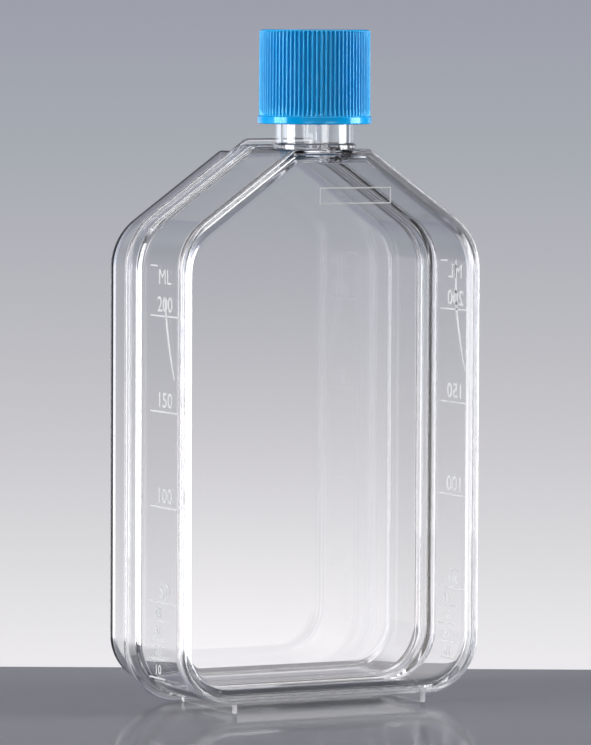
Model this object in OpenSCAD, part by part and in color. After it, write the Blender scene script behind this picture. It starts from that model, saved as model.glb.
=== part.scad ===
// Cell culture flask, 75 cm2 class, standing upright on its foot ribs.
// Units are millimetres, +Z is up, the flask faces -Y.
// The origin is the middle of the overall box, on the surface that the flask stands on.
//
// Three mouldings and a seal:
//   flask_shell  front wall, side walls, shoulders and neck in one clear moulding
//   growth_tray  back plate with its own wall and flange, welded into the shell's skirt
//   screw_cap    ribbed cap with a right-hand thread
//   cap_seal     disc between the neck's rim and the top of the cap
//
// Walls are described by two numbers: the depth behind the front plane of the shell, and
// the offset outwards from the shell's outline (negative is inwards).

/* [Body] */
// Width of the shell
body_w = 74.6; // [62:0.2:92]
// Height from the bottom of the shell to the flat top
body_h = 121.7; // [100:0.1:150]
// Depth of the shell, from the front plane to the seam
shell_d = 25.4; // [24.6:0.1:31]
// Depth of the tray, from the seam to its back face
tray_d = 13.8; // [11:0.1:17]
// Height of the sloping shoulders
shoulder_h = 19.8; // [16:0.1:24]
// Outer radius of the two bottom corners
base_r = 12.5; // [9:0.1:15]
// Outer radius where the sides meet the shoulders
shoulder_r = 14.1; // [9:0.1:17]
// Wall thickness of the shell
wall = 1.3; // [1:0.05:1.6]

/* [Front face] */
// Width of the outermost lip of the front border
lip_w = 1.1; // [0.8:0.05:1.6]
// Height of the lip over the second step of the border
lip_h = 0.6; // [0.3:0.05:0.9]
// Width of the second step
band_w = 1.8; // [1.2:0.05:2.2]
// Height of the second step over the front window
band_h = 0.5; // [0.2:0.05:0.8]

/* [Skirt and seam] */
// Length of the skirt in front of the seam
skirt_l = 6; // [5:0.1:7.4]
// How far the skirt stands out from the side wall
skirt_out = 0.7; // [0.5:0.05:0.95]
// Distance by which the skirt's inner step lies behind its outer step
skirt_step = 1.2; // [0.9:0.05:1.5]
// Width of each half of the groove at the seam
groove_w = 0.35; // [0.2:0.05:0.6]
// Depth of the groove at the seam
groove_h = 0.6; // [0.3:0.05:0.7]

/* [Growth tray] */
// How far the flange stands out from the shell at the sides and shoulders
flange_out = 0.8; // [0.7:0.05:1.2]
// Thickness of the flange at the seam
flange_t = 1.25; // [1:0.05:1.8]
// Thickness of the tongue that stands inside the shell's skirt
tongue_t = 1.35; // [1:0.05:1.5]
// Thickness of the wall around the growth plate
tray_wall = 1; // [0.8:0.05:1.2]
// Thickness of the growth plate
plate_t = 1.6; // [1.2:0.1:2]

/* [Neck] */
// Outer diameter of the neck
neck_d = 17.3; // [14.4:0.1:20.8]
// Wall thickness of the neck
neck_wall = 1.45; // [1.2:0.05:2]
// Distance of the neck's front from the front plane
neck_inset = 0.55; // [0.55:0.05:2]
// Height of the neck above the flat top
neck_h = 23.9; // [20:0.1:30]
// How far the collar at the root of the neck stands out
collar_w = 0.5; // [0.2:0.05:0.5]
// Height of the collar
collar_h = 1.2; // [0.6:0.1:2]
// Width of the flat top on each side of the collar
crown_edge = 0.3; // [0.2:0.1:3]

/* [Cap] */
// Height of the cap
cap_h = 20.85; // [18:0.05:22]
// Room for the thread between the neck and the cap
thread_room = 1.65; // [1.2:0.05:2]
// Thickness of the cap's wall at the bottom of the grooves
cap_wall = 1.6; // [1.2:0.05:2]
// Thickness of the cap's top
cap_top = 1.2; // [1:0.05:1.8]
// Number of grip ribs
rib_count = 78; // [48:1:84]
// Height of a grip rib
rib_h = 0.45; // [0.3:0.05:0.6]
// How far the plain ring at the bottom stands out from the ribs
ring_out = 0.3; // [0.1:0.05:0.8]
// Height of the plain ring
ring_h = 1.7; // [1:0.1:3]
// Bevel at the top edge
cap_bevel = 0.6; // [0.3:0.05:1]
// Thickness of the seal disc
seal_t = 1; // [0.8:0.05:1.4]

/* [Feet] */
// Height of the foot ribs, and of the flange's foot edge under the shell
foot_h = 2; // [1.6:0.1:2.6]
// Width of a foot rib
foot_w = 1.2; // [0.8:0.1:2]
// Distance of a foot rib from the start of the rounded corner
foot_inset = 1.2; // [1:0.1:8]

/* [Hidden] */
$fn = 96;

weld_gap = 0.05;         // between the tray and the shell where they stand inside each other
seat_gap = 0.1;          // above and below the seal disc
seal_gap = 0.2;          // around the seal disc
eps = 0.01;              // overlap of solids that are joined, and of cuts that meet
tongue_room = 0.6;       // between the end of the tongue and the skirt's inner step
crown_r = 2;             // outer radius at the two ends of the flat top
crown_r_min = 0.6;       // the same radius on the innermost surfaces

// Neck and cap, from the axis outwards.
neck_y = neck_inset + neck_d / 2;
neck_bore = neck_d - 2 * neck_wall;
collar_d = neck_d + 2 * collar_w;
cap_bore = neck_d + 2 * thread_room;
groove_r = cap_bore / 2 + cap_wall;
rib_r = groove_r + rib_h;
ring_r = rib_r + ring_out;

// Overall box in depth: the cap stands before the front plane.
body_d = shell_d + tray_d;
cap_overhang = max(ring_r - neck_y, 0);
front_y = (cap_overhang - body_d) / 2;

// Heights from the floor.
base_z = foot_h;
crown_z = base_z + body_h;
neck_top_z = crown_z + neck_h;
seal_z = neck_top_z + seat_gap;
cap_z = seal_z + seal_t + seat_gap + cap_top - cap_h;

// Slope of the shoulders, and the distance of its line from the axis in the XZ plane.
crown_w = collar_d + 2 * crown_edge;
slope_a = atan2(shoulder_h, (body_w - crown_w) / 2);
slope_c = sin(slope_a) * crown_w / 2 + cos(slope_a) * crown_z;

// Offsets of the wall surfaces.
skirt_in = skirt_out - wall;
groove_o = skirt_out - groove_h;
tongue_o = skirt_in - weld_gap;
tongue_in = tongue_o - tongue_t;
tray_wall_o = tongue_in + tray_wall;
flange_end = foot_h;     // the flange reaches as far past the shell at the top as at the bottom

// Depths of the steps.
window_y = lip_h + band_h;
skirt_y = shell_d - skirt_l;
tongue_y = skirt_y + skirt_step + tongue_room;
flange_y = shell_d + groove_w;
plate_y = body_d - plate_t;

// ---- Outline -------------------------------------------------------------------------

// Centre and radius of each rounded corner, [x, z, r], at offset o at the sides and
// slopes and offset e at the bottom and the top.
function corner_low(o, e) =
    let (r = base_r + o)
    [body_w / 2 + o - r, base_z - e + r, r];

function corner_mid(o) =
    let (r = shoulder_r + o, x = body_w / 2 + o - r)
    [x, (slope_c + o - r - sin(slope_a) * x) / cos(slope_a), r];

function corner_top(o, e) =
    let (r = max(crown_r + o, crown_r_min), z = crown_z + e - r)
    [(slope_c + o - r - cos(slope_a) * z) / sin(slope_a), z, r];

// The point of a corner's arc that faces the direction a, measured from +X.
function arc_point(c, a) = [c[0] + c[2] * cos(a), c[1] + c[2] * sin(a)];

// Right half of the outline, through the ends of the arcs from bottom to top.
function half_points(o, e) =
    let (low = corner_low(o, e), mid = corner_mid(o), top = corner_top(o, e))
    [arc_point(low, -90), arc_point(low, 0), arc_point(mid, 0), arc_point(mid, 90 - slope_a),
     arc_point(top, 90 - slope_a), arc_point(top, 90)];

function mirrored(points) =
    [for (i = [len(points) - 1:-1:0]) [-points[i][0], points[i][1]]];

module outline(o, e) {
    right = half_points(o, e);
    polygon(concat(right, mirrored(right)));
    for (c = [corner_low(o, e), corner_mid(o), corner_top(o, e)], side = [-1, 1])
        translate([side * c[0], c[1]])
            circle(r = c[2]);
}

// Solid slab of the outline between two depths.
module slab(y0, y1, o, e) {
    translate([0, front_y + y1, 0])
        rotate([90, 0, 0])
            linear_extrude(height = y1 - y0)
                outline(o, e);
}

// Slab whose offset is the same all round.
module even_slab(y0, y1, o) {
    slab(y0, y1, o, o);
}

module on_neck_axis(z) {
    translate([0, front_y + neck_y, z])
        children();
}

// ---- Shell ---------------------------------------------------------------------------

module shell_walls() {
    difference() {
        union() {
            even_slab(0, skirt_y + eps, 0);
            even_slab(skirt_y, shell_d - groove_w + eps, skirt_out);
            even_slab(shell_d - groove_w, shell_d, groove_o);
        }
        even_slab(-1, lip_h, -lip_w);
        even_slab(lip_h - eps, window_y, -lip_w - band_w);
        even_slab(window_y + wall, skirt_y + skirt_step, -wall);
        even_slab(skirt_y + skirt_step - eps, shell_d + 1, skirt_in);
    }
}

module neck_tube(d, h) {
    on_neck_axis(crown_z - wall / 2)
        cylinder(h = h + wall / 2, d = d);
}

module foot_ribs() {
    x = body_w / 2 - base_r - foot_inset;
    length = flange_y - lip_h - weld_gap;
    for (side = [-1, 1])
        translate([side * x - foot_w / 2, front_y + lip_h, 0])
            cube([foot_w, length, foot_h + wall / 2]);
}

module flask_shell() {
    color([0.86, 0.9, 0.93, 0.35])
        difference() {
            union() {
                shell_walls();
                neck_tube(neck_d, neck_h);
                neck_tube(collar_d, collar_h);
                foot_ribs();
            }
            on_neck_axis(crown_z - 2 * wall)
                cylinder(h = neck_h + 3 * wall, d = neck_bore);
        }
}

// ---- Tray ----------------------------------------------------------------------------

module growth_tray() {
    color([0.86, 0.9, 0.93, 0.35])
        difference() {
            union() {
                even_slab(tongue_y, shell_d + eps, tongue_o);
                even_slab(shell_d, flange_y + eps, groove_o);
                slab(flange_y, flange_y + flange_t, flange_out, flange_end);
                even_slab(flange_y, body_d, tray_wall_o);
            }
            even_slab(tongue_y - 1, plate_y, tongue_in);
        }
}

// ---- Cap and seal --------------------------------------------------------------------

// Round bar with a bevelled top edge.
module bevelled_bar(r, h, bevel) {
    rotate_extrude()
        polygon([[0, 0], [r, 0], [r, h - bevel], [r - bevel, h], [0, h]]);
}

// Toothed section of the grip: four points to a rib, two at the crest and two at the root.
module rib_star() {
    pitch = 360 / rib_count;
    crest = 0.18;
    root = 0.3;
    polygon([for (i = [0:rib_count - 1], p = [[-crest, rib_r], [crest, rib_r], [root, groove_r], [1 - root, groove_r]])
        p[1] * [cos((i + p[0]) * pitch), sin((i + p[0]) * pitch)]]);
}

module screw_cap() {
    color([0, 0.5, 0.82])
        on_neck_axis(cap_z)
            difference() {
                union() {
                    cylinder(h = ring_h, r = ring_r);
                    intersection() {
                        linear_extrude(height = cap_h)
                            rib_star();
                        bevelled_bar(rib_r + eps, cap_h, cap_bevel);
                    }
                }
                translate([0, 0, -1])
                    cylinder(h = cap_h - cap_top + 1, d = cap_bore);
            }
}

module cap_seal() {
    color([0.95, 0.95, 0.93])
        on_neck_axis(seal_z)
            cylinder(h = seal_t, d = cap_bore - 2 * seal_gap);
}

flask_shell();
growth_tray();
screw_cap();
cap_seal();
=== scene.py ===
import logging
import math
from dataclasses import dataclass
from enum import Enum
from typing import Sequence

import bmesh
import bpy
from mathutils import Matrix, Vector


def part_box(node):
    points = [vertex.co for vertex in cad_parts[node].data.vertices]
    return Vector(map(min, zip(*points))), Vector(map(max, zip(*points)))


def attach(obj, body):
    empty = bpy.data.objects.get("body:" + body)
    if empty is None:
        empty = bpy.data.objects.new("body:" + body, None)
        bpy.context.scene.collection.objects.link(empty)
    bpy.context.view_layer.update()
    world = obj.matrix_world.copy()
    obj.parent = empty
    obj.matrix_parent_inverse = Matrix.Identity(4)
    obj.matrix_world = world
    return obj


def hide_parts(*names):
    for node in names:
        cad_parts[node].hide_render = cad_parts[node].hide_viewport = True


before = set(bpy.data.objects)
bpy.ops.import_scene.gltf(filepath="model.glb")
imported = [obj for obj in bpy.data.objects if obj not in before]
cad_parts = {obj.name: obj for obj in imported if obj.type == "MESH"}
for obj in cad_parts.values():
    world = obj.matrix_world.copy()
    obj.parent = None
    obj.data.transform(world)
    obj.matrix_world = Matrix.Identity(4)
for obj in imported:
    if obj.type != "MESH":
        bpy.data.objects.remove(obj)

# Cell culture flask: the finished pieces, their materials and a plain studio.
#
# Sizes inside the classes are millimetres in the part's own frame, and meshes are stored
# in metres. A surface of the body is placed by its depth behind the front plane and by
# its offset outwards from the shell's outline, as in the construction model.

LOG = logging.getLogger("flask")
MM = 0.001
FULL_TURN = 2 * math.pi

Object = bpy.types.Object
Material = bpy.types.Material
Node = bpy.types.Node
Socket = bpy.types.NodeSocket
Profile = list[tuple[float, float]]
Corner = tuple[float, float, float, float, float, int]
Inputs = dict[str | int, object]
Triple = tuple[float, float, float]
Colour = Triple
Stops = Sequence[tuple[float, Colour]]


class Wall(Enum):
    """The two side walls, by the direction that each one faces."""

    LEFT = -1
    RIGHT = 1


@dataclass(frozen=True)
class SectionPoint:
    """A corner of a wall's section: depth, side offset, end offset and fillet, in mm."""

    depth: float
    side: float
    end: float
    fillet: float = 0.0

    def lerp(self, other: "SectionPoint", share: float) -> "SectionPoint":
        """The point that lies the given share of the way to another."""
        return SectionPoint(
            self.depth + (other.depth - self.depth) * share,
            self.side + (other.side - self.side) * share,
            self.end + (other.end - self.end) * share,
        )

    def distance(self, other: "SectionPoint") -> float:
        """The distance to another point in the plane of depth and side offset."""
        return math.hypot(self.depth - other.depth, self.side - other.side)


def even(depth: float, offset: float, fillet: float = 0.0) -> SectionPoint:
    """A section corner whose offset is the same all round the outline."""
    return SectionPoint(depth, offset, offset, fillet)


def rounded(points: Sequence[SectionPoint], steps: int, most: float = 0.48) -> list[SectionPoint]:
    """Rounds the corners of a section.

    Args:
        points: The section's corners, each with its own fillet.
        steps: The number of straight pieces in each rounded corner.
        most: The largest share of a straight stretch that one fillet takes.

    Returns:
        The points of the rounded section, in the same order.
    """
    made = [points[0]]
    for before, corner, after in zip(points, points[1:], points[2:]):
        if corner.fillet <= 0:
            made.append(corner)
            continue
        start, stop = (
            corner.lerp(other, min(most, corner.fillet / corner.distance(other)))
            for other in (before, after)
        )
        for step in range(steps + 1):
            share = step / steps
            made.append(start.lerp(corner, share).lerp(corner.lerp(stop, share), share))
    made.append(points[-1])
    return made


@dataclass(frozen=True)
class Fit:
    """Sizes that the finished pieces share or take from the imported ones, in mm."""

    skirt_out: float = 0.7
    tray_end: float = 2.0
    seam_depth: float = 25.4
    window_depth: float = 1.05
    thread_lead: float = 4.0

    def _box(self, node: str) -> tuple[Vector, Vector]:
        """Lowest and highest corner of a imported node, in mm."""
        low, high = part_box(node)
        return low / MM, high / MM

    @property
    def half_width(self) -> float:
        """Half the width of the shell's outline."""
        return self._box("flask_shell")[1].x - self.skirt_out

    @property
    def front(self) -> float:
        """Place of the front plane along Y."""
        return self._box("flask_shell")[0].y

    @property
    def back_depth(self) -> float:
        """Depth of the tray's back face behind the front plane."""
        return self._box("growth_tray")[1].y - self.front

    @property
    def crown(self) -> float:
        """Height of the shell's flat top."""
        return self._box("growth_tray")[1].z - self.tray_end

    @property
    def rim(self) -> float:
        """Height of the neck's rim."""
        return self._box("flask_shell")[1].z

    @property
    def neck_y(self) -> float:
        """Place of the neck's axis along Y."""
        low, high = self._box("screw_cap")
        return (low.y + high.y) / 2

    def round_piece(self, node: str) -> Triple:
        """Bottom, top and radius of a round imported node."""
        low, high = self._box(node)
        return low.z, high.z, high.x


@dataclass(frozen=True)
class Outline:
    """The flask's front outline: a rectangle with sloping shoulders and round corners."""

    half_width: float
    base: float
    crown: float
    front: float
    half_crown: float = 9.45
    shoulder_height: float = 19.8
    base_radius: float = 12.5
    shoulder_radius: float = 14.1
    crown_radius: float = 2.0
    crown_radius_min: float = 0.6
    base_steps: int = 20
    shoulder_steps: int = 14
    crown_steps: int = 6

    @property
    def slope(self) -> float:
        """Angle of the shoulders from the horizontal, in radians."""
        return math.atan2(self.shoulder_height, self.half_width - self.half_crown)

    def _corners(self, side: float, end: float) -> list[Corner]:
        """Works out the right-hand corners of an offset outline.

        Args:
            side: Offset of the sides and shoulders outwards.
            end: Offset of the bottom and the crown outwards.

        Returns:
            Centre, radius, first and last direction and steps of each corner.
        """
        lean = math.sin(self.slope), math.cos(self.slope)
        reach = lean[0] * self.half_crown + lean[1] * self.crown + side
        low = self.base_radius + side
        mid = self.shoulder_radius + side
        top = max(self.crown_radius + side, self.crown_radius_min)
        mid_x = self.half_width + side - mid
        top_z = self.crown + end - top
        down, facing, up = -math.pi / 2, math.pi / 2 - self.slope, math.pi / 2
        low_x, low_z = self.half_width + side - low, self.base - end + low
        mid_z = (reach - mid - lean[0] * mid_x) / lean[1]
        top_x = (reach - top - lean[1] * top_z) / lean[0]
        return [
            (low_x, low_z, low, down, 0.0, self.base_steps),
            (mid_x, mid_z, mid, 0.0, facing, self.shoulder_steps),
            (top_x, top_z, top, facing, up, self.crown_steps),
        ]

    def ring(self, point: SectionPoint) -> list[Vector]:
        """The outline at a section's point, in metres, anticlockwise from the front."""
        right: Profile = []
        for x, z, radius, first, last, steps in self._corners(point.side, point.end):
            for step in range(steps + 1):
                angle = first + (last - first) * step / steps
                right.append((x + radius * math.cos(angle), z + radius * math.sin(angle)))
        whole = right + [(-x, z) for x, z in reversed(right)]
        y = self.front + point.depth
        return [Vector((x, y, z)) * MM for x, z in whole]


# ---- Mesh tools ----------------------------------------------------------------------


def new_object(name: str, mesh: bpy.types.ID) -> Object:
    """Puts a mesh or a curve into the scene under a piece's name."""
    made = bpy.data.objects.new(name, mesh)
    bpy.context.scene.collection.objects.link(made)
    return made


def to_object(name: str, bm: bmesh.types.BMesh) -> Object:
    """Turns a bmesh into an object of the scene."""
    mesh = bpy.data.meshes.new(name)
    bm.to_mesh(mesh)
    bm.free()
    return new_object(name, mesh)


def shift(piece: Object, x: float, y: float, z: float) -> Object:
    """Moves a piece's mesh by a distance in mm, and leaves its origin in place."""
    piece.data.transform(Matrix.Translation(Vector((x, y, z)) * MM))
    return piece


def coat(piece: Object, material: Material) -> None:
    """Gives a piece one material in place of any that it has."""
    piece.data.materials.clear()
    piece.data.materials.append(material)


def loft(rings: Sequence[Sequence[Vector]], closed: bool = False) -> bmesh.types.BMesh:
    """Joins rings of equal length into a closed skin.

    Args:
        rings: The rings in order.
        closed: True joins the last ring to the first. False puts a flat face on both.

    Returns:
        The mesh, with its faces pointing outwards.
    """
    bm = bmesh.new()
    rows = [[bm.verts.new(p) for p in ring] for ring in rings]
    count = len(rows[0])
    for low, high in list(zip(rows, rows[1:])) + ([(rows[-1], rows[0])] if closed else []):
        for i in range(count):
            j = (i + 1) % count
            bm.faces.new((low[i], low[j], high[j], high[i]))
    if not closed:
        bm.faces.new(rows[0])
        bm.faces.new(list(reversed(rows[-1])))
    bmesh.ops.recalc_face_normals(bm, faces=bm.faces)
    return bm


def block(size: Vector, middle: Vector, edge: float, segments: int) -> bmesh.types.BMesh:
    """Makes a box with rounded edges.

    Args:
        size: Its three sizes.
        middle: Place of its middle.
        edge: Radius of its edges.
        segments: The number of faces across a rounded edge.

    Returns:
        The mesh.
    """
    bm = bmesh.new()
    bmesh.ops.create_cube(bm, size=1)
    for vert in bm.verts:
        vert.co = Vector(a * b for a, b in zip(vert.co, size)) + middle
    bmesh.ops.bevel(bm, geom=bm.edges[:], offset=edge, segments=segments, affect="EDGES")
    return bm


def revolve(profile: Profile, axis_y: float, segments: int) -> bmesh.types.BMesh:
    """Turns a profile about the neck's axis into a closed skin.

    Args:
        profile: Radius and height of each point in mm. Its first and last radius are
            zero, so each end closes in a single point.
        axis_y: Place of the axis along Y, in mm.
        segments: The number of faces round the axis.

    Returns:
        The mesh, with its faces pointing outwards.
    """
    bm = bmesh.new()
    rows: list[list[bmesh.types.BMVert]] = []
    for radius, height in profile:
        row = []
        for i in range(segments if radius else 1):
            angle = FULL_TURN * i / segments
            x, y = radius * math.cos(angle), axis_y + radius * math.sin(angle)
            row.append(bm.verts.new(Vector((x, y, height)) * MM))
        rows.append(row)
    for low, high in zip(rows, rows[1:]):
        for i in range(segments):
            j = (i + 1) % segments
            below = [low[k % len(low)] for k in (i, j)]
            above = [high[k % len(high)] for k in (j, i)]
            bm.faces.new(list(dict.fromkeys(below + above)))
    bmesh.ops.recalc_face_normals(bm, faces=bm.faces)
    return bm


def bake(piece: Object) -> Object:
    """Replaces a piece's mesh by what its modifiers make of it, and removes them."""
    bpy.context.view_layer.update()
    graph = bpy.context.evaluated_depsgraph_get()
    made = bpy.data.meshes.new_from_object(
        piece.evaluated_get(graph), preserve_all_data_layers=True, depsgraph=graph
    )
    piece.modifiers.clear()
    old, piece.data = piece.data, made
    bpy.data.meshes.remove(old)
    return piece


def combine(piece: Object, tool: Object, operation: str) -> None:
    """Applies one exact boolean to a piece and removes the tool.

    Args:
        piece: The piece that changes.
        tool: The closed mesh that is added or cut away.
        operation: UNION or DIFFERENCE.
    """
    modifier = piece.modifiers.new("join", "BOOLEAN")
    modifier.operation = operation
    modifier.object = tool
    modifier.solver = "EXACT"
    bake(piece)
    bpy.data.objects.remove(tool)


def smooth_by_angle(piece: Object, degrees: float, weld: float = 1e-7) -> None:
    """Shades a piece smooth, with normals led by its large faces.

    Args:
        piece: The piece.
        degrees: Edges that turn by more than this angle stay sharp.
        weld: Points nearer to each other than this distance, in metres, are joined.
    """
    bm = bmesh.new()
    bm.from_mesh(piece.data)
    bmesh.ops.remove_doubles(bm, verts=bm.verts, dist=weld)
    limit = math.radians(degrees)
    for edge in bm.edges:
        edge.smooth = len(edge.link_faces) == 2 and edge.calc_face_angle(0.0) < limit
    for face in bm.faces:
        face.smooth = True
    bm.to_mesh(piece.data)
    bm.free()
    modifier = piece.modifiers.new("normals", "WEIGHTED_NORMAL")
    modifier.keep_sharp = True
    modifier.weight = 100
    bake(piece)


def arc(x: float, z: float, radius: float, first: float, last: float, steps: int) -> Profile:
    """Points along an arc of a profile.

    Args:
        x: Place of the arc's centre across the profile.
        z: Height of the arc's centre.
        radius: The arc's radius.
        first: Direction of the first point, in degrees.
        last: Direction of the last point, in degrees.
        steps: The number of straight pieces.

    Returns:
        The points in order.
    """
    angles = [math.radians(first + (last - first) * step / steps) for step in range(steps + 1)]
    return [(x + radius * math.cos(angle), z + radius * math.sin(angle)) for angle in angles]


# ---- Node trees ----------------------------------------------------------------------


class Nodes:
    """Short ways to fill a node tree."""

    def __init__(self, tree: bpy.types.NodeTree) -> None:
        """Takes the tree that is to be filled."""
        self.tree = tree

    def feed(self, socket: Socket, value: object) -> None:
        """Links an input to a socket or to a node's first output, or sets its value."""
        if isinstance(value, bpy.types.Node):
            value = next(made for made in value.outputs if made.enabled)
        if isinstance(value, bpy.types.NodeSocket):
            self.tree.links.new(value, socket)
        else:
            socket.default_value = value

    def add(self, kind: str, inputs: Inputs | None = None, **settings: object) -> Node:
        """Adds a node.

        Args:
            kind: The node's type.
            inputs: What feeds each input, by the input's name or number.
            **settings: The node's own properties.

        Returns:
            The node.
        """
        made = self.tree.nodes.new(kind)
        for name, value in settings.items():
            setattr(made, name, value)
        for name, value in (inputs or {}).items():
            self.feed(made.inputs[name], value)
        return made

    def math(self, operation: str, *values: object) -> Socket:
        """Adds a Math node fed by sockets or numbers, and returns its result."""
        return self.add("ShaderNodeMath", dict(enumerate(values)), operation=operation).outputs[0]

    def product(self, *values: object) -> Socket:
        """Multiplies two or more values, from left to right."""
        made = values[0]
        for value in values[1:]:
            made = self.math("MULTIPLY", made, value)
        return made

    def mixed(self, factor: object, low: object, high: object) -> Node:
        """Mixes two colours with an opacity, or sockets or nodes that give colours."""
        return self.add("ShaderNodeMix", {"Factor": factor, "A": low, "B": high}, data_type="RGBA")

    def clamped(self, value: Socket, low: float) -> Socket:
        """Keeps a value between a lower limit and one."""
        return self.math("MAXIMUM", self.math("MINIMUM", value, 1.0), low)


class Tree(Nodes):
    """A Geometry Nodes tree with named inputs."""

    def __init__(self, name: str) -> None:
        """Starts an empty tree of the given name."""
        super().__init__(bpy.data.node_groups.new(name, "GeometryNodeTree"))
        for way in ("INPUT", "OUTPUT"):
            self.tree.interface.new_socket("Geometry", in_out=way, socket_type="NodeSocketGeometry")
        self.inputs = self.add("NodeGroupInput")

    def number(self, name: str, kind: str = "NodeSocketFloat") -> Socket:
        """Adds a named input and returns its socket inside the tree."""
        self.tree.interface.new_socket(name, in_out="INPUT", socket_type=kind)
        return self.inputs.outputs[name]

    def finish(self, geometry: Node) -> None:
        """Ends the tree in Realize Instances."""
        real = self.add("GeometryNodeRealizeInstances", {"Geometry": geometry})
        self.add("NodeGroupOutput", {"Geometry": real})

    def apply(self, piece: Object, values: dict[str, float]) -> Object:
        """Runs the tree on a piece with values for its inputs, and leaves a plain mesh."""
        modifier = piece.modifiers.new(self.tree.name, "NODES")
        modifier.node_group = self.tree
        for item in self.tree.interface.items_tree:
            if item.in_out == "INPUT" and item.name in values:
                modifier[item.identifier] = values[item.name]
        return bake(piece)


def helix_ridge(name: str, radius: float, turns: float, lead: float, half_width: float,
                depth: float) -> Object:
    """A thread's ridge, swept by Geometry Nodes along a helix on the Z axis.

    The helix rises clockwise as seen from above, so the ridge is left-handed. The cap's
    motion is right-handed, so the two ridges cross for a part of the first turn.

    Args:
        name: The object's name.
        radius: Radius of the helix, in mm.
        turns: The number of turns.
        lead: Rise in one turn, in mm.
        half_width: Scale of the section's width across the axis, in mm.
        depth: Height of the section along the axis, in mm.

    Returns:
        The closed ridge, tapered at both ends, with its start at the origin's height.
    """
    sizes = {
        "Radius": radius * MM,
        "Turns": turns,
        "Height": lead * turns * MM,
        "Half width": half_width * MM,
        "Depth": depth * MM,
    }
    steps_per_turn, taper_rate, least_swell = 56, 16.0, 0.05
    foot_share, crest_share = 3.2, 1.1
    tree = Tree("thread_ridge")
    helix, rotations, height, width, thick = (tree.number(size) for size in sizes)
    spiral = tree.add("GeometryNodeCurveSpiral", {
        "Resolution": steps_per_turn, "Rotations": rotations,
        "Start Radius": helix, "End Radius": helix, "Height": height,
    })
    upright = tree.add("GeometryNodeSetCurveNormal", {"Curve": spiral}, mode="Z_UP")
    along = tree.add("GeometryNodeSplineParameter").outputs["Factor"]
    near_start = tree.math("MULTIPLY", along, taper_rate)
    near_end = tree.math("MULTIPLY", tree.math("SUBTRACT", 1.0, along), taper_rate)
    swell = tree.clamped(tree.math("MINIMUM", near_start, near_end), least_swell)
    path = tree.add("GeometryNodeSetCurveRadius", {"Curve": upright, "Radius": swell})
    section = tree.add("GeometryNodeCurvePrimitiveQuadrilateral", mode="TRAPEZOID")
    for label, value in {
        "Bottom Width": tree.math("MULTIPLY", width, foot_share),
        "Top Width": tree.math("MULTIPLY", width, crest_share),
        "Height": thick,
        "Offset": 0.0,
    }.items():
        tree.feed(section.inputs[label], value)
    tree.finish(tree.add("GeometryNodeCurveToMesh", {
        "Curve": path, "Profile Curve": section, "Fill Caps": True,
    }))
    return tree.apply(new_object(name, bpy.data.meshes.new(name)), sizes)


# ---- Finishes ------------------------------------------------------------------------


class Shader(Nodes):
    """The nodes of one material."""

    def __init__(self, name: str) -> None:
        """Starts a material with an empty tree."""
        self.material = bpy.data.materials.new(name)
        self.material.use_nodes = True
        super().__init__(self.material.node_tree)
        self.tree.nodes.clear()

    def noise(self, scale: float, detail: float, stretch: Triple = (1, 1, 1)) -> Node:
        """Adds smooth noise with so many features a metre, on the object's own axes."""
        place = self.add("ShaderNodeTexCoord").outputs["Object"]
        mapping = self.add("ShaderNodeMapping", {"Vector": place, "Scale": stretch})
        return self.add("ShaderNodeTexNoise", {"Vector": mapping, "Scale": scale, "Detail": detail})

    def bump(self, height: Node, strength: float, distance: float) -> Node:
        """Adds a normal that is bumped by a height."""
        return self.add("ShaderNodeBump", {
            "Height": height, "Strength": strength, "Distance": distance,
        })

    def spread(self, factor: Node, low: float, high: float) -> Node:
        """Maps a factor from 0 to 1 onto a range."""
        return self.add("ShaderNodeMapRange", {"Value": factor, "To Min": low, "To Max": high})

    def blend(self, factor: Node, low: Colour, high: Colour) -> Node:
        """Mixes two colours."""
        return self.mixed(factor, (*low, 1), (*high, 1))

    def mix(self, factor: Socket | float, first: Node, second: Node) -> Node:
        """Mixes two surfaces."""
        return self.add("ShaderNodeMixShader", {"Fac": factor, 1: first, 2: second})

    def principled(self, **inputs: object) -> Node:
        """Adds the surface shader. A name's underscores stand for spaces."""
        spaced = {name.replace("_", " "): value for name, value in inputs.items()}
        return self.add("ShaderNodeBsdfPrincipled", spaced)

    def finish(self, surface: Node) -> Material:
        """Ends the tree in a surface and returns the material."""
        self.add("ShaderNodeOutputMaterial", {"Surface": surface})
        return self.material


@dataclass(frozen=True)
class ClearPolystyrene:
    """Clear moulded polystyrene with faint flow waves."""

    name: str
    tint: Colour = (0.985, 0.992, 1.0)
    ior: float = 1.59
    wave: float = 0.04
    roughest: float = 0.015

    def material(self) -> Material:
        """Builds the material."""
        shader = Shader(self.name)
        waves = shader.noise(scale=22.0, detail=1.0, stretch=(1.0, 1.0, 0.35))
        fine = shader.noise(scale=260.0, detail=2.0)
        return shader.finish(shader.principled(
            Base_Color=(*self.tint, 1),
            Roughness=shader.spread(fine, 0.0, self.roughest),
            IOR=self.ior,
            Transmission_Weight=1.0,
            Normal=shader.bump(waves, self.wave, 0.00012),
        ))


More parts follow.
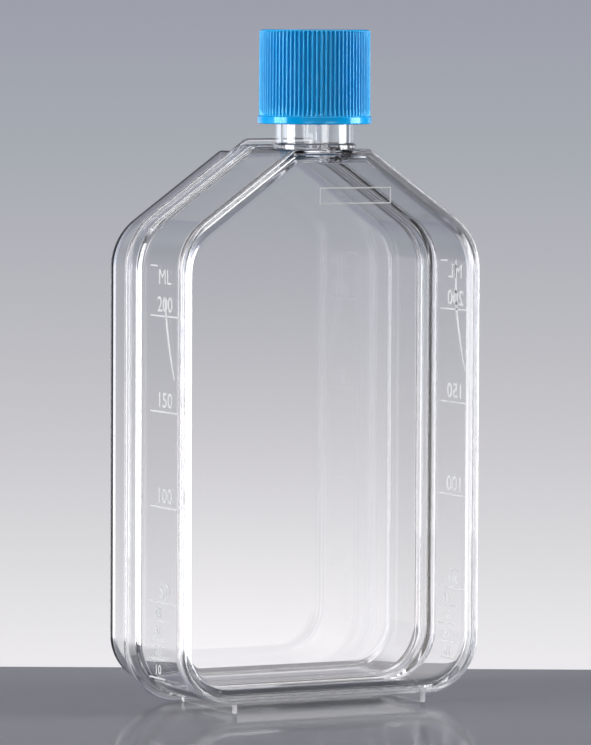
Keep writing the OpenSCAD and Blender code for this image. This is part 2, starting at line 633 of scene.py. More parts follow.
@dataclass(frozen=True)
class CapPlastic:
    """Blue polyethylene: satin, a little translucent, with moulding mottle."""

    deep: Colour = (0.0, 0.28, 0.65)
    light: Colour = (0.0, 0.34, 0.74)
    sheen: Colour = (0.4, 0.87, 1.0)

    def material(self) -> Material:
        """Builds the material."""
        shader = Shader("blue_polyethylene")
        mottle = shader.noise(scale=180.0, detail=3.0)
        grain = shader.noise(scale=2600.0, detail=2.0)
        return shader.finish(shader.principled(
            Base_Color=shader.blend(mottle, self.deep, self.light),
            Roughness=shader.spread(grain, 0.1, 0.16),
            IOR=1.5,
            Specular_IOR_Level=0.6,
            Specular_Tint=(*self.sheen, 1),
            Subsurface_Weight=0.12,
            Subsurface_Radius=(0.3, 0.7, 1.0),
            Subsurface_Scale=0.0008,
            Normal=shader.bump(grain, 0.06, 0.00004),
        ))


@dataclass(frozen=True)
class SealFoam:
    """White foamed polyethylene of the seal disc."""

    colour: Colour = (0.86, 0.86, 0.84)
    shaded: float = 0.9

    def material(self) -> Material:
        """Builds the material."""
        shader = Shader("white_foam")
        cells = shader.noise(scale=3200.0, detail=3.0)
        shade = tuple(self.shaded * part for part in self.colour)
        return shader.finish(shader.principled(
            Base_Color=shader.blend(cells, shade, self.colour),
            Roughness=0.62,
            Normal=shader.bump(cells, 0.25, 0.00006),
        ))


@dataclass(frozen=True)
class FrostedMark:
    """The frosted surface of the raised marks, which scatters light both ways."""

    name: str
    colour: Colour = (0.82, 0.83, 0.84)
    passed: float = 0.45

    def material(self) -> Material:
        """Builds the material."""
        shader = Shader(self.name)
        grain = shader.noise(scale=4200.0, detail=2.0)
        surface = shader.principled(
            Base_Color=(*self.colour, 1),
            Roughness=shader.spread(grain, 0.45, 0.65),
            IOR=1.2,
            Normal=shader.bump(grain, 0.2, 0.00003),
        )
        through = shader.add("ShaderNodeBsdfTranslucent", {"Color": (*self.colour, 1)})
        return shader.finish(shader.mix(self.passed, surface, through))


@dataclass(frozen=True)
class TableTop:
    """Glossy grey table, left out of what the flask's walls mirror."""

    colour: Colour = (0.2, 0.2, 0.22)
    lift: float = 1.06

    def material(self) -> Material:
        """Builds the material."""
        shader = Shader("table_top")
        cloud = shader.noise(scale=6.0, detail=2.0)
        lighter = tuple(self.lift * part for part in self.colour)
        surface = shader.principled(
            Base_Color=shader.blend(cloud, self.colour, lighter),
            Roughness=0.1,
            Specular_IOR_Level=0.5,
        )
        depth = shader.add("ShaderNodeLightPath").outputs["Glossy Depth"]
        mirrored = shader.math("GREATER_THAN", depth, 0.5)
        return shader.finish(shader.mix(mirrored, surface, shader.add("ShaderNodeBsdfTransparent")))


# ---- Pieces --------------------------------------------------------------------------


@dataclass
class FlaskShell:
    """Front moulding: window with its stepped border, walls, shoulders, neck and feet."""

    fit: Fit
    outline: Outline
    wall: float = 1.3
    window_margin: float = 3.0
    window_fillet: float = 1.1
    lip_width: float = 1.14
    lip_height: float = 0.6
    lip_draft: float = 0.1
    lip_fillet: float = 0.85
    step_width: float = 1.65
    step_foot: float = 1.9
    step_end: float = 2.6
    step_rise: float = 0.35
    step_fillet: float = 0.77
    skirt_depth: float = 19.2
    skirt_slope: float = 1.6
    flare_start: float = 0.5
    flare_end: float = 1.75
    groove_width: float = 0.6
    groove_depth: float = 0.35
    neck_radius: float = 8.65
    bore_radius: float = 7.2
    collar_radius: float = 9.15
    collar_height: float = 1.2
    collar_edge: float = 0.3
    collar_bevel: float = 0.45
    neck_fillet: float = 0.25
    rim_fillet: float = 0.4
    thread_start: float = 12.5
    thread_turns: float = 1.75
    thread_lift: float = 0.25
    thread_half_width: float = 0.5
    thread_depth: float = 1.2
    foot_x: float = 23.6
    foot_width: float = 1.2
    foot_end: float = 25.7
    foot_edge: float = 0.2
    fillet_steps: int = 4
    round_steps: int = 128
    sharp_above: float = 38

    def section(self) -> list[SectionPoint]:
        """The wall's section from the window's inner face round to its outer face."""
        fit, skirt, lip, inner = self.fit, self.skirt_depth, -self.lip_width, -self.wall
        skirt_in = fit.skirt_out - self.wall
        groove = fit.skirt_out - self.groove_width
        seam, groove_end = fit.seam_depth, fit.seam_depth - self.groove_depth
        corners = [
            even(fit.window_depth + self.wall, inner - self.window_margin),
            even(fit.window_depth + self.wall, inner, self.window_fillet),
            even(skirt + self.flare_start, inner, 0.3),
            even(skirt + self.flare_end, skirt_in, 0.12),
            even(seam, skirt_in, 0.08),
            even(seam, groove, 0.1),
            even(groove_end, groove, 0.12),
            even(groove_end, fit.skirt_out, 0.2),
            even(skirt + self.skirt_slope, fit.skirt_out, 0.6),
            even(skirt, 0.0, 0.6),
            even(0.0, 0.0, self.lip_fillet),
            even(0.0, lip, 0.32),
            even(self.lip_height, lip - self.lip_draft, 0.16),
            even(self.lip_height + self.step_rise, lip - self.step_width, self.step_fillet),
            even(fit.window_depth, lip - self.step_foot, 0.2),
            even(fit.window_depth, lip - self.step_end),
        ]
        return rounded(corners, self.fillet_steps)

    def neck_profile(self) -> Profile:
        """Radius and height of the solid neck, from its hidden foot to its rim."""
        crown, rim, edge = self.fit.crown, self.fit.rim, self.rim_fillet
        waist = crown + self.collar_height
        corner, fillet = self.collar_edge, self.neck_fillet
        return [
            (0, crown - self.wall / 2),
            (self.collar_radius, crown - self.wall / 2),
            (self.collar_radius, waist - self.collar_bevel),
            *arc(self.collar_radius - corner, waist - self.collar_bevel, corner, 0, 80, 3),
            *arc(self.neck_radius + fillet, waist + 0.1, fillet, 250, 180, 3),
            (self.neck_radius, rim - edge),
            *arc(self.neck_radius - edge, rim - edge, edge, 20, 90, 4),
            (0, rim),
        ]

    def bore_profile(self) -> Profile:
        """Radius and height of the space inside the neck, with a rounded mouth."""
        foot, rim, edge = self.fit.crown - 2 * self.wall, self.fit.rim, self.rim_fillet
        mouth = arc(0, rim - edge, edge, 0, 90, 4)[1:]
        return [
            (0, foot),
            (self.bore_radius, foot),
            (self.bore_radius, rim - edge),
            *[(self.bore_radius + edge - radius, height) for radius, height in mouth],
            (self.bore_radius + edge, rim + 1),
            (0, rim + 1),
        ]

    def foot(self, wall: Wall) -> Object:
        """Makes one of the two ribs that the flask stands on, on the given wall's side."""
        front, back = self.fit.front + self.lip_height, self.fit.front + self.foot_end
        height = self.outline.base + self.wall / 2
        size = Vector((self.foot_width, back - front, height)) * MM
        middle = Vector((wall.value * self.foot_x, (front + back) / 2, height / 2)) * MM
        return to_object(f"foot_{wall.name.lower()}", block(size, middle, self.foot_edge * MM, 2))

    def thread(self) -> Object:
        """Makes the neck's thread ridge, in place."""
        radius = self.neck_radius + self.thread_lift
        turns, lead = self.thread_turns, self.fit.thread_lead
        width, depth = self.thread_half_width, self.thread_depth
        ridge = helix_ridge("neck_thread", radius, turns, lead, width, depth)
        return shift(ridge, 0, self.fit.neck_y, self.fit.rim - self.thread_start)

    def build(self, finish: ClearPolystyrene) -> Object:
        """Builds the moulding as one closed mesh that rides on its body."""
        rings = [self.outline.ring(point) for point in self.section()]
        shell = to_object("flask_shell_moulding", loft(rings))
        axis, steps = self.fit.neck_y, self.round_steps
        neck = to_object("neck_bar", revolve(self.neck_profile(), axis, steps))
        combine(neck, self.thread(), "UNION")
        combine(shell, neck, "UNION")
        for wall in Wall:
            combine(shell, self.foot(wall), "UNION")
        bore = to_object("neck_bore", revolve(self.bore_profile(), axis, steps))
        combine(shell, bore, "DIFFERENCE")
        smooth_by_angle(shell, self.sharp_above)
        coat(shell, finish.material())
        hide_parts("flask_shell")
        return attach(shell, "flask")


@dataclass
class GrowthTray:
    """Back moulding: growth plate, the wall round it, its flange and its tongue."""

    fit: Fit
    outline: Outline
    weld_gap: float = 0.03
    tongue_depth: float = 21.1
    tongue_out: float = -0.62
    wall_in: float = -2.1
    wall_out: float = -1.0
    groove: float = 0.1
    groove_depth: float = 0.35
    flange_side: float = 0.8
    flange: float = 1.25
    plate: float = 1.5
    plate_fillet: float = 1.5
    plate_margin: float = 4.0
    back_fillet: float = 2.2
    back_margin: float = 5.0
    bead_width: float = 0.95
    bead_depth: float = 0.4
    fillet_steps: int = 5
    sharp_above: float = 38

    def section(self) -> list[SectionPoint]:
        """The section from the plate's inner face round to its outer face."""
        seam = self.fit.seam_depth + self.weld_gap
        flange_front = self.fit.seam_depth + self.groove_depth
        flange_back = flange_front + self.flange
        back = self.fit.back_depth
        corners = [
            even(back - self.plate, self.wall_in - self.plate_margin),
            even(back - self.plate, self.wall_in, self.plate_fillet),
            even(self.tongue_depth, self.wall_in, 0.3),
            even(self.tongue_depth, self.tongue_out, 0.3),
            even(seam, self.tongue_out, 0.05),
            even(seam, self.groove, 0.06),
            even(flange_front, self.groove, 0.12),
            SectionPoint(flange_front, self.flange_side, self.fit.tray_end, 0.3),
            SectionPoint(flange_back, self.flange_side, self.fit.tray_end, 0.3),
            even(flange_back, self.wall_out + self.bead_width, 0.35),
            even(flange_back + self.bead_depth, self.wall_out, 0.35),
            even(back, self.wall_out, self.back_fillet),
            even(back, self.wall_out - self.back_margin),
        ]
        return rounded(corners, self.fillet_steps)

    def build(self, finish: ClearPolystyrene) -> Object:
        """Builds the moulding as one closed mesh that rides on its body."""
        rings = [self.outline.ring(point) for point in self.section()]
        tray = to_object("growth_tray_moulding", loft(rings))
        smooth_by_angle(tray, self.sharp_above)
        coat(tray, finish.material())
        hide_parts("growth_tray")
        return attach(tray, "flask")


@dataclass
class ScrewCap:
    """Ribbed cap with a plain ring at the bottom and a thread inside."""

    fit: Fit
    rib_count: int = 78
    rib_height: float = 0.45
    rib_out: float = 0.3
    rib_fade: float = 0.35
    rib_foot: float = 0.1
    rib_top: float = 0.3
    rib_flat: float = 0.5
    least_wall: float = 0.6
    ring_height: float = 1.7
    ring_edge: float = 0.3
    ring_top: float = 0.2
    ring_seat: float = 0.08
    flank_foot: float = 0.25
    top_margin: float = 0.8
    bore_row: float = 6.0
    top_thickness: float = 1.2
    bore_radius: float = 10.3
    bore_fillet: float = 0.6
    mouth_fillet: float = 0.4
    edge: float = 0.7
    taper: float = 0.08
    flank_rows: int = 10
    steps_per_rib: int = 10
    thread_turns: float = 1.5
    thread_start: float = 5.0
    thread_lift: float = 0.25
    thread_half_width: float = 0.45
    thread_depth: float = 1.0
    sharp_above: float = 50

    def outside(self) -> Profile:
        """Radius and height from the middle of the top down to the ring's bottom edge."""
        low, high, ring = self.fit.round_piece("screw_cap")
        crest = ring - self.rib_out
        top = crest - self.taper
        shoulder = low + self.ring_height
        foot = shoulder + self.flank_foot
        rise = high - self.edge - shoulder - self.flank_foot
        rows, lean = self.flank_rows, top - crest
        flank = [(crest + lean * i / rows, foot + rise * i / rows) for i in range(rows + 1)]
        return [
            (0, high),
            (top - self.edge - self.top_margin, high),
            *arc(top - self.edge, high - self.edge, self.edge, 90, 12, 6),
            *reversed(flank),
            (crest, shoulder + self.ring_seat),
            *arc(ring - self.ring_top, shoulder - self.ring_top, self.ring_top, 80, 0, 3),
            (ring, low + self.ring_edge),
            *arc(ring - self.ring_edge, low + self.ring_edge, self.ring_edge, -10, -90, 3),
        ]

    def inside(self) -> Profile:
        """Radius and height from the mouth's edge up to the middle of the ceiling."""
        low, high, _ = self.fit.round_piece("screw_cap")
        bore, mouth, fillet = self.bore_radius, self.mouth_fillet, self.bore_fillet
        ceiling = high - self.top_thickness
        return [
            *arc(bore + mouth, low + mouth, mouth, 270, 180, 4),
            (bore, low + self.bore_row),
            (bore, ceiling - fillet),
            *arc(bore - fillet, ceiling - fillet, fillet, 10, 90, 3),
            (0, ceiling),
        ]

    def press_ribs(self, cap: Object) -> None:
        """Presses the grooves between the ribs into the plain cap by Geometry Nodes."""
        low, high, _ = self.fit.round_piece("screw_cap")
        sizes = {
            "Rib count": float(self.rib_count),
            "Rib height": self.rib_height * MM,
            "Axis Y": self.fit.neck_y * MM,
            "Bottom": (low + self.ring_height + self.rib_foot) * MM,
            "Top": (high - self.rib_top) * MM,
            "Fade": self.rib_fade * MM,
            "Least radius": (self.bore_radius + self.least_wall) * MM,
        }
        tree = Tree("grip_ribs")
        count, height, axis_y, bottom, top, fade, least = (tree.number(size) for size in sizes)
        place = tree.add("ShaderNodeSeparateXYZ", {0: tree.add("GeometryNodeInputPosition")})
        x, z = place.outputs["X"], place.outputs["Z"]
        y = tree.math("SUBTRACT", place.outputs["Y"], axis_y)
        radius = tree.math("SQRT", tree.math("ADD", tree.product(x, x), tree.product(y, y)))
        wave = tree.math("COSINE", tree.product(tree.math("ARCTAN2", y, x), count))
        crest = tree.clamped(tree.math("ADD", wave, self.rib_flat), 0.0)
        above = tree.math("DIVIDE", tree.math("SUBTRACT", z, bottom), fade)
        below = tree.math("DIVIDE", tree.math("SUBTRACT", top, z), fade)
        outer = tree.math("GREATER_THAN", radius, least)
        weight = tree.product(tree.clamped(tree.math("MINIMUM", above, below), 0.0), outer)
        depth = tree.product(tree.math("SUBTRACT", 1.0, crest), height, weight)
        share = tree.math("DIVIDE", depth, tree.math("MAXIMUM", radius, MM))
        inwards = tree.add("ShaderNodeCombineXYZ", {
            "X": tree.product(x, share, -1.0), "Y": tree.product(y, share, -1.0),
        })
        move = tree.add("GeometryNodeSetPosition", {
            "Geometry": tree.inputs.outputs["Geometry"], "Offset": inwards,
        })
        tree.finish(move)
        tree.apply(cap, sizes)

    def thread(self) -> Object:
        """Makes the ridge inside the cap, a quarter of a lead below the neck's ridge."""
        radius = self.bore_radius - self.thread_lift
        turns, lead = self.thread_turns, self.fit.thread_lead
        width, depth = self.thread_half_width, self.thread_depth
        ridge = helix_ridge("cap_thread", radius, turns, lead, width, depth)
        low = self.fit.round_piece("screw_cap")[0]
        return shift(ridge, 0, self.fit.neck_y, low + self.thread_start)

    def build(self, finish: CapPlastic) -> list[Object]:
        """Builds the cap and the thread inside it, which ride on the cap's body."""
        material = finish.material()
        profile, segments = self.outside() + self.inside(), self.rib_count * self.steps_per_rib
        cap = to_object("screw_cap_moulding", revolve(profile, self.fit.neck_y, segments))
        self.press_ribs(cap)
        smooth_by_angle(cap, self.sharp_above)
        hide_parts("screw_cap")
        pieces = [cap, self.thread()]
        for piece in pieces:
            coat(piece, material)
            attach(piece, "cap")
        return pieces


@dataclass
class CapSeal:
    """The soft disc between the neck's rim and the top of the cap."""

    fit: Fit
    groove_radius: float = 8.0
    groove_half: float = 0.7
    groove_floor: float = 0.4
    groove_depth: float = 0.05
    soft_share: float = 0.3
    segments: int = 128
    sharp_above: float = 40

    def build(self, finish: SealFoam) -> Object:
        """Builds the disc with soft edges and a faint ring where the rim bears on it."""
        low, high, radius = self.fit.round_piece("cap_seal")
        edge = (high - low) * self.soft_share
        profile = [
            (0, high),
            (radius - edge, high),
            *arc(radius - edge, high - edge, edge, 70, 0, 3),
            *arc(radius - edge, low + edge, edge, 0, -70, 3),
            (radius - edge, low),
            (self.groove_radius + self.groove_half, low),
            (self.groove_radius + self.groove_floor, low + self.groove_depth),
            (self.groove_radius - self.groove_floor, low + self.groove_depth),
            (self.groove_radius - self.groove_half, low),
            (0, low),
        ]
        seal = to_object("cap_seal_disc", revolve(profile, self.fit.neck_y, self.segments))
        smooth_by_angle(seal, self.sharp_above)
        coat(seal, finish.material())
        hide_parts("cap_seal")
        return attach(seal, "seal")


@dataclass
class WallScale:
    """The scale on one side wall: level lines, numbers, unit and the slanting stroke."""

    fit: Fit
    wall: Wall
    shift: float = 0.0
    top_level: float = 87.25
    fifty_step: float = 21.0
    line_back: float = 15.2
    long_front: float = 1.6
    short_front: float = 7.5
    long_lines: int = 4
    short_lines: int = 4
    line_width: float = 0.36
    tick_front: float = 11.8
    tick_height: float = 98.2
    unit_foot: float = 94.3
    digit: float = 3.3
    small_digit: float = 2.1
    relief: float = 0.06
    seat: float = 0.005
    stroke_foot: float = 73.5
    stroke_top: float = 91.5
    unit_middle: float = 8.1
    fifty_middle: float = 8.0
    fifty_lift: float = 1.0
    ten_middle: float = 11.0
    ten_lift: float = 0.9

    def name(self, mark: str) -> str:
        """The full name of one of the scale's marks."""
        return f"scale_{self.wall.name.lower()}_{mark}"

    def place(self, depth: float, height: float, lift: float) -> Vector:
        """A point at a lift off the wall's outer face, in metres."""
        x = self.wall.value * (self.fit.half_width + lift)
        return Vector((x, self.fit.front + depth + self.shift, height)) * MM

    def lines(self, mark: str, count: int, first: float, pitch: float, near: float) -> Object:
        """Repeats one level line by Geometry Nodes.

        Args:
            mark: The last part of the piece's name.
            count: The number of lines.
            first: Height of the lowest line.
            pitch: Distance from one line to the next.
            near: Depth of each line's front end.

        Returns:
            The lines as one mesh.
        """
        sizes = {
            "Count": count,
            "Pitch": pitch * MM,
            "Length": (self.line_back - near) * MM,
            "Width": self.line_width * MM,
            "Relief": self.relief * MM,
        }
        tree = Tree("level_lines")
        number = tree.number("Count", "NodeSocketInt")
        step, length, width, thick = (tree.number(size) for size in list(sizes)[1:])
        offset = tree.add("ShaderNodeCombineXYZ", {"Z": step})
        row = tree.add("GeometryNodeMeshLine", {"Count": number, "Offset": offset}, mode="OFFSET")
        size = tree.add("ShaderNodeCombineXYZ", {"X": thick, "Y": length, "Z": width})
        bar = tree.add("GeometryNodeMeshCube", {"Size": size})
        tree.finish(tree.add("GeometryNodeInstanceOnPoints", {"Points": row, "Instance": bar}))
        name = self.name(mark)
        piece = tree.apply(new_object(name, bpy.data.meshes.new(name)), sizes)
        middle = self.place((near + self.line_back) / 2, first, self.seat + self.relief / 2)
        piece.data.transform(Matrix.Translation(middle))
        return piece

    def text(self, mark: str, words: str, digit: float, middle: float, foot: float) -> Object:
        """Writes a number or a unit that reads from outside the wall.

        Args:
            mark: The last part of the piece's name.
            words: The characters.
            digit: Height of a digit.
            middle: Depth of the text's middle.
            foot: Height of the text's base line.

        Returns:
            The text as a mesh.
        """
        name, digit_share, widening, bolder = self.name(mark), 0.7, 1.08, 0.04
        curve = bpy.data.curves.new(name, "FONT")
        curve.body = words
        curve.align_x = "CENTER"
        curve.size = digit / digit_share * MM
        curve.offset = 0.0 if words.isalpha() else bolder * MM
        curve.extrude = self.relief / 2 * MM
        curve.resolution_u = 3
        holder = new_object(name, curve)
        bpy.context.view_layer.update()
        graph = bpy.context.evaluated_depsgraph_get()
        mesh = bpy.data.meshes.new_from_object(holder.evaluated_get(graph))
        bpy.data.objects.remove(holder)
        facing = self.wall.value
        turn = Matrix(((0, 0, facing, 0), (facing * widening, 0, 0, 0), (0, 1, 0, 0), (0, 0, 0, 1)))
        spot = self.place(middle, foot, self.seat + self.relief / 2)
        mesh.transform(Matrix.Translation(spot) @ turn)
        return new_object(name, mesh)

    def stroke(self, mark: str) -> Object:
        """Draws the slanting stroke, straight at the top and leaning to the front below."""
        rows, crest = 24, 0.8
        bend_from, bend_over, top_depth, reach, bend_power = 91.0, 17.5, 7.9, 4.6, 1.6
        least_half, swell, blunt, span = 0.05, 0.42, 0.12, 0.86
        rings = []
        for i in range(rows + 1):
            height = self.stroke_top + (self.stroke_foot - self.stroke_top) * i / rows
            lean = max(0.0, (bend_from - height) / bend_over)
            depth = top_depth - reach * lean ** bend_power
            half = swell * math.sin(math.pi * min(1.0, blunt + span * i / rows)) ** 0.5 + least_half
            rings.append([
                self.place(depth - half, height, self.seat),
                self.place(depth - half * crest, height, self.seat + self.relief),
                self.place(depth + half * crest, height, self.seat + self.relief),
                self.place(depth + half, height, self.seat),
            ])
        return to_object(self.name(mark), loft(rings))

    def build(self, finish: FrostedMark) -> list[Object]:
        """Builds every mark of the scale, riding on the flask."""
        material = finish.material()
        fifty = self.top_level - 3 * self.fifty_step
        ten = self.fifty_step / 5
        pieces = [
            self.lines("long_lines", self.long_lines, fifty, self.fifty_step, self.long_front),
            self.lines("short_lines", self.short_lines, fifty - 4 * ten, ten, self.short_front),
            self.lines("unit_tick", 1, self.tick_height, 1.0, self.tick_front),
            self.text("unit", "ML", self.digit, self.unit_middle, self.unit_foot),
        ]
        for i in range(self.long_lines):
            level, foot = str(50 * (i + 1)), fifty + i * self.fifty_step + self.fifty_lift
            pieces.append(self.text(level, level, self.digit, self.fifty_middle, foot))
        for i in range(self.short_lines):
            level, foot = str(10 * (i + 1)), fifty - (4 - i) * ten + self.ten_lift
            pieces.append(self.text(level, level, self.small_digit, self.ten_middle, foot))
        pieces.append(self.stroke("stroke"))
        for piece in pieces:
            coat(piece, material)
            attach(piece, "flask")
        return pieces


@dataclass
class BlankPlate:
    """The bare raised frame on the front window, below the shoulder."""

    fit: Fit
    left: float = -3.0
    right: float = 14.9
    low: float = 111.6
    high: float = 115.3
    line: float = 0.3
    relief: float = 0.05
    root: float = 0.01

    def build(self, finish: FrostedMark) -> Object:
        """Builds the frame as one closed ring that rides on the flask."""
        y = self.fit.front + self.fit.window_depth
        rings = []
        root, crest = -self.root, self.relief
        for inset, lift in ((0.0, root), (0.0, crest), (self.line, crest), (self.line, root)):
            left, right = self.left + inset, self.right - inset
            low, high = self.low + inset, self.high - inset
            corners = ((left, low), (right, low), (right, high), (left, high))
            rings.append([Vector((x, y - lift, z)) * MM for x, z in corners])
        plate = to_object("blank_plate_frame", loft(rings, closed=True))
        coat(plate, finish.material())
        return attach(plate, "flask")


# ---- Studio --------------------------------------------------------------------------


@dataclass(frozen=True)
class Softbox:
    """A rectangular lamp that faces the flask.

    Attributes:
        name: The lamp's name.
        bearing: Degrees from straight behind the flask, positive to the camera's right.
        width: Width of its face, in metres.
        tall: Height of its face, in metres.
        radiance: Brightness of its face.
        height: Height of its middle above the table, in metres.
        distance: Level distance from the flask, in metres.
        aimed_at: Height of the point that it faces, in metres.
        fills: Whether it lights dull surfaces as well as glossy ones.
        through: Whether it shows in what is mirrored behind clear walls.
        on_table: Whether it lights the table.
    """

    name: str
    bearing: float
    width: float
    tall: float
    radiance: float
    height: float = 0.22
    distance: float = 0.9
    fills: bool = True
    through: bool = True
    on_table: bool = True
    aimed_at: float = 0.075

    def hide_straight_on(self, data: bpy.types.AreaLight) -> None:
        """Keeps the lamp out of sight straight through clear walls, but not in what they mirror."""
        data.use_nodes = True
        nodes = Nodes(data.node_tree)
        paths = nodes.add("ShaderNodeLightPath")
        mirrored = nodes.math("GREATER_THAN", paths.outputs["Glossy Depth"], 0.5)
        outside = nodes.math("LESS_THAN", paths.outputs["Transmission Depth"], 0.5)
        strength = data.node_tree.nodes["Emission"].inputs["Strength"]
        nodes.feed(strength, nodes.math("MAXIMUM", mirrored, outside))

    def build(self, ahead: Vector, right: Vector) -> Object:
        """Makes the lamp.

        Args:
            ahead: Level direction from the camera to the flask.
            right: Level direction to the camera's right.

        Returns:
            The lamp.
        """
        data = bpy.data.lights.new(self.name, "AREA")
        data.shape = "RECTANGLE"
        data.size, data.size_y = self.width, self.tall
        data.energy = 4 * self.width * self.tall * self.radiance
        if self.through:
            self.hide_straight_on(data)
        lamp = new_object(self.name, data)
        lamp.visible_diffuse = self.fills
        lamp.visible_transmission = self.through
        angle = math.radians(self.bearing)
        target = Vector((0, 0, self.aimed_at))
        level = right * math.sin(angle) + ahead * math.cos(angle)
        place = level * self.distance + Vector((0, 0, self.height))
        aim = (target - place).to_track_quat("-Z", "Y").to_matrix().to_4x4()
        lamp.matrix_world = Matrix.Translation(place) @ aim
        return lamp


class Backdrop(Nodes):
    """The world: an even backdrop, with flats that only bent and mirrored rays see."""

    def __init__(self, ahead: Vector, right: Vector, brightest: float = 4.0) -> None:
        """Starts the world's tree.

        Args:
            ahead: Level direction from the camera to the flask.
            right: Level direction to the camera's right.
            brightest: The largest factor that a flat may put on the backdrop's colour.
        """
        world = bpy.data.worlds.new("backdrop")
        bpy.context.scene.world = world
        world.use_nodes = True
        world.node_tree.nodes.clear()
        super().__init__(world.node_tree)
        self.brightest = brightest
        place = self.add("ShaderNodeTexCoord").outputs["Generated"]
        x, y, self.height = self.add("ShaderNodeSeparateXYZ", {0: place}).outputs
        self.along, across = (
            self.math("ADD", self.product(x, way.x), self.product(y, way.y))
            for way in (ahead, right)
        )
        self.bearing = self.product(self.math("ARCTAN2", across, self.along), 180 / math.pi)

    def ramp(self, value: Socket, low: float, high: float, stops: Stops) -> Node:
        """Makes a colour that follows a value.

        Args:
            value: The value.
            low: The value at the ramp's start.
            high: The value at the ramp's end.
            stops: Values in rising order, each with its colour.

        Returns:
            The ramp.
        """
        scaled = self.add("ShaderNodeMapRange", {"Value": value, "From Min": low, "From Max": high})
        made = self.add("ShaderNodeValToRGB", {"Fac": scaled})
        for i, (level, colour) in enumerate(stops):
            spot = (level - low) / (high - low)
            mark = made.color_ramp.elements[i] if i < 2 else made.color_ramp.elements.new(spot)
            mark.position, mark.color = spot, (*colour, 1)
        return made

    def sky(self) -> Node:
        """The backdrop's colour by height alone: pale just above the table, and greyer above."""
        return self.ramp(self.height, -0.4, 1.0, (
            (-0.35, (0.10, 0.105, 0.12)),
            (-0.18, (0.20, 0.20, 0.22)),
            (-0.137, (0.845, 0.83, 0.855)),
            (-0.118, (0.845, 0.83, 0.855)),
            (-0.096, (0.70, 0.695, 0.715)),
            (-0.078, (0.60, 0.59, 0.62)),
            (-0.059, (0.51, 0.51, 0.545)),
            (-0.040, (0.45, 0.455, 0.495)),
            (-0.022, (0.385, 0.41, 0.445)),
            (0.005, (0.34, 0.352, 0.412)),
            (0.12, (0.25, 0.26, 0.30)),
            (0.33, (0.12, 0.125, 0.14)),
            (0.66, (0.12, 0.125, 0.14)),
            (0.78, (1.2, 1.2, 1.22)),
            (1.0, (1.2, 1.2, 1.22)),
        ))

    def flats(self) -> Node:
        """Bright and dark flats round the flask, as factors on the sky over the brightest one."""
        veil_bearings, veil, neutral = (110, 130), (1.0, 0.93, 0.87), (1.0, 1.0, 1.0)
        # Each edge holds its bearing, and the factor well above the table and low down.
        edges = (
            (-180, 3.0, 1.0), (-160, 3.0, 1.0), (-150, 0.3, 0.3), (-112, 0.3, 0.3),
            (-106, 1.8, 0.8), (-74, 2.4, 1.0), (-66, 0.5, 0.4), (-50, 0.7, 0.5),
            (-44, 2.6, 1.8), (-24, 2.4, 2.0), (-15, 2.2, 1.8), (-12, 1.0, 1.0),
            (16, 1.0, 1.0), (22, 0.6, 0.5), (30, 2.2, 1.4), (37, 2.2, 1.4),
            (44, 0.3, 0.2), (62, 0.4, 0.3), (67, 3.4, 2.0), (78, 3.0, 1.6),
            (84, 1.6, 1.2), (106, 1.4, 1.1), (110, 0.45, 2.0), (130, 0.45, 2.0),
            (136, 1.0, 1.0), (170, 3.0, 1.0),
        )
        ramps = []
        for level in (1, 2):
            stops = []
            for edge in edges:
                tint = veil if edge[0] in veil_bearings else neutral
                stops.append((edge[0], tuple(edge[level] / self.brightest * part for part in tint)))
            ramps.append(self.ramp(self.bearing, -180, 180, stops))
        reach = {"Value": self.height, "From Min": -0.03, "From Max": -0.12}
        return self.mixed(self.add("ShaderNodeMapRange", reach), *ramps)

    def fill(self) -> Node:
        """The soft light that dull surfaces gather from all round, by bearing."""
        strength = 2.0
        levels = (
            (-180, 0.05), (-140, 0.08), (-110, 0.4), (-60, 0.4), (-30, 0.3),
            (30, 0.3), (60, 0.5), (110, 0.5), (140, 0.08), (180, 0.05),
        )
        stops = [(angle, (level / strength,) * 3) for angle, level in levels]
        colour = self.ramp(self.bearing, -180, 180, stops)
        return self.add("ShaderNodeBackground", {"Color": colour, "Strength": strength})

    def build(self) -> None:
        """Shows the even sky to straight rays, and the sky with its flats to the others."""
        paths = self.add("ShaderNodeLightPath").outputs
        unmirrored = self.math("LESS_THAN", paths["Glossy Depth"], 0.5)
        behind_camera = self.math("LESS_THAN", self.along, 0.0)
        through_flask = self.product(paths["Is Transmission Ray"], unmirrored, behind_camera)
        straight = self.math("MAXIMUM", paths["Is Camera Ray"], through_flask)
        share = self.mixed(straight, self.flats(), (*(1 / self.brightest,) * 3, 1))
        colour = self.add("ShaderNodeVectorMath", {0: self.sky(), 1: share}, operation="MULTIPLY")
        shown = self.add("ShaderNodeBackground", {"Color": colour, "Strength": self.brightest})
        direct = self.math("MAXIMUM", paths["Is Camera Ray"], paths["Is Glossy Ray"])
        clear = self.math("MAXIMUM", direct, paths["Is Transmission Ray"])
        seen = self.product(clear, self.math("SUBTRACT", 1.0, paths["Is Diffuse Ray"]))
        mix = self.add("ShaderNodeMixShader", {"Fac": seen, 1: self.fill(), 2: shown})
        self.add("ShaderNodeOutputWorld", {"Surface": mix})


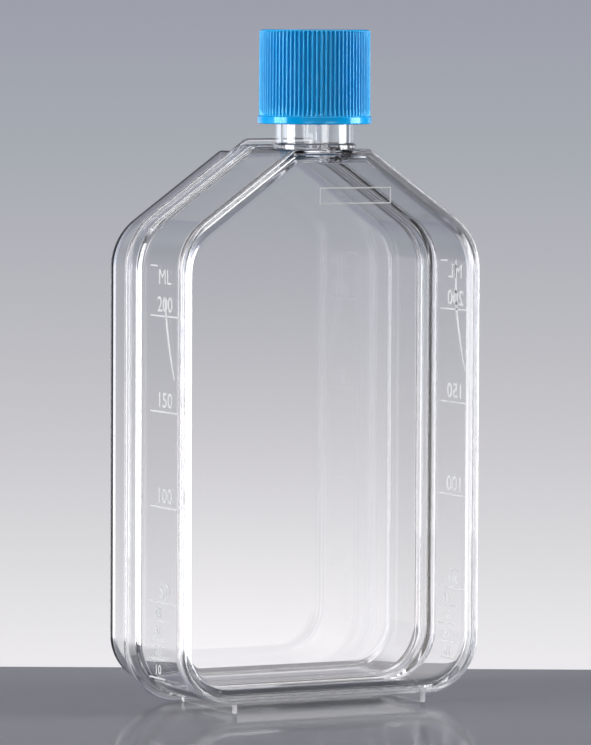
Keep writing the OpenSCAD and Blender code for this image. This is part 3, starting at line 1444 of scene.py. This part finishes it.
@dataclass
class Studio:
    """Table, lamps, backdrop and camera. Angles are degrees, and lengths of the camera are mm."""

    fit: Fit
    azimuth: float = 28.0
    distance: float = 1178.35
    eye: float = 149.2
    pitch: float = 3.63
    yaw: float = 0.40
    roll: float = 0.27
    lens: float = 258.66
    table_behind: float = 76.0
    table_size: Triple = (3.6, 1.9, 0.03)
    table_edge: float = 0.0015
    lamps: tuple[Softbox, ...] = (
        Softbox("box_left", -107, 0.48, 0.8, 9.0, through=False),
        Softbox("box_right", 89, 0.44, 0.8, 9.0, through=False),
        Softbox("card_front_right", 147, 0.12, 0.16, 3.0, 0.05, 0.35, on_table=False),
        Softbox("card_front_left", -170, 0.08, 0.12, 3.5, 0.06, 0.35, fills=False, on_table=False),
        Softbox("top_box", 170, 0.7, 0.4, 2.4, 1.0, 0.45, fills=False),
    )

    @property
    def ahead(self) -> Vector:
        """Level direction from the camera to the flask."""
        angle = math.radians(self.azimuth)
        return Vector((math.sin(angle), math.cos(angle), 0))

    @property
    def right(self) -> Vector:
        """Level direction to the right, as the camera sees it."""
        return self.ahead.cross(Vector((0, 0, 1)))

    def camera(self) -> None:
        """Makes the camera."""
        data = bpy.data.cameras.new("camera")
        data.sensor_width = 36
        data.lens = self.lens
        data.clip_start, data.clip_end = 0.05, 50
        eye = new_object("camera", data)
        bpy.context.scene.camera = eye
        front = Vector((0, self.fit.front, self.eye)) * MM
        place = front - self.ahead * self.distance * MM
        tilt, turn, lean = (math.radians(angle) for angle in (self.pitch, self.yaw, self.roll))
        right, ahead = self.right, self.ahead * math.cos(tilt) - Vector((0, 0, 1)) * math.sin(tilt)
        up = right.cross(ahead)
        right, ahead = (
            right * math.cos(turn) + ahead * math.sin(turn),
            ahead * math.cos(turn) - right * math.sin(turn),
        )
        right, up = (
            right * math.cos(lean) + up * math.sin(lean),
            up * math.cos(lean) - right * math.sin(lean),
        )
        axes = Matrix((right, up, -ahead)).transposed()
        eye.matrix_world = Matrix.Translation(place) @ axes.to_4x4()

    def table(self, finish: TableTop) -> Object:
        """Makes the table, whose far edge lies just behind the flask."""
        table = to_object("table", block(Vector(self.table_size), Vector(), self.table_edge, 3))
        _, depth, thick = self.table_size
        axes = Matrix((self.right, self.ahead, Vector((0, 0, 1)))).transposed().to_4x4()
        below = Vector((0, self.fit.front * MM, -thick / 2))
        middle = below - self.ahead * (depth / 2 - self.table_behind * MM)
        table.data.transform(Matrix.Translation(middle) @ axes)
        coat(table, finish.material())
        return table

    def lights(self, table: Object) -> None:
        """Makes the lamps, and keeps some of them off the table."""
        unlit = bpy.data.collections.new("unlit_table")
        unlit.objects.link(table)
        unlit.collection_objects[0].light_linking.link_state = "EXCLUDE"
        for softbox in self.lamps:
            lamp = softbox.build(self.ahead, self.right)
            if not softbox.on_table:
                lamp.light_linking.receiver_collection = unlit

    def build(self) -> None:
        """Makes the whole studio."""
        scene = bpy.context.scene
        scene.view_settings.view_transform = "Standard"
        scene.cycles.max_bounces = 32
        scene.cycles.transmission_bounces = 28
        scene.cycles.glossy_bounces = 16
        scene.cycles.diffuse_bounces = 3
        self.camera()
        self.lights(self.table(TableTop()))
        Backdrop(self.ahead, self.right).build()


def main() -> None:
    """Builds the studio and every piece in order, and reports each one."""
    logging.basicConfig(level=logging.INFO, format="%(name)s: %(message)s")
    fit = Fit()
    outline = Outline(fit.half_width, fit.tray_end, fit.crown, fit.front)
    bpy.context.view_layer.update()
    Studio(fit).build()
    # One frosted finish in two copies. The far copy is painted light: whiter and more see-through
    # than the near copy, so the right wall's marks read as lit.
    near_mark = FrostedMark("frosted_mark_near")
    far_mark_painted_light = FrostedMark("frosted_mark_far_painted_light", colour=(0.96, 0.965, 0.97), passed=0.85)
    pieces: list[Object] = [
        FlaskShell(fit, outline).build(ClearPolystyrene("clear_polystyrene_shell")),
        GrowthTray(fit, outline).build(ClearPolystyrene("clear_polystyrene_tray")),
        *ScrewCap(fit).build(CapPlastic()),
        CapSeal(fit).build(SealFoam()),
        *WallScale(fit, Wall.LEFT).build(near_mark),
        # The right wall's marks take the far copy, which is painted light.
        *WallScale(fit, Wall.RIGHT, shift=2.5, stroke_top=98.5).build(far_mark_painted_light),
        BlankPlate(fit).build(near_mark),
    ]
    for piece in pieces:
        LOG.info("%s: %d faces", piece.name, len(piece.data.polygons))


if __name__ == "__main__":
    main()
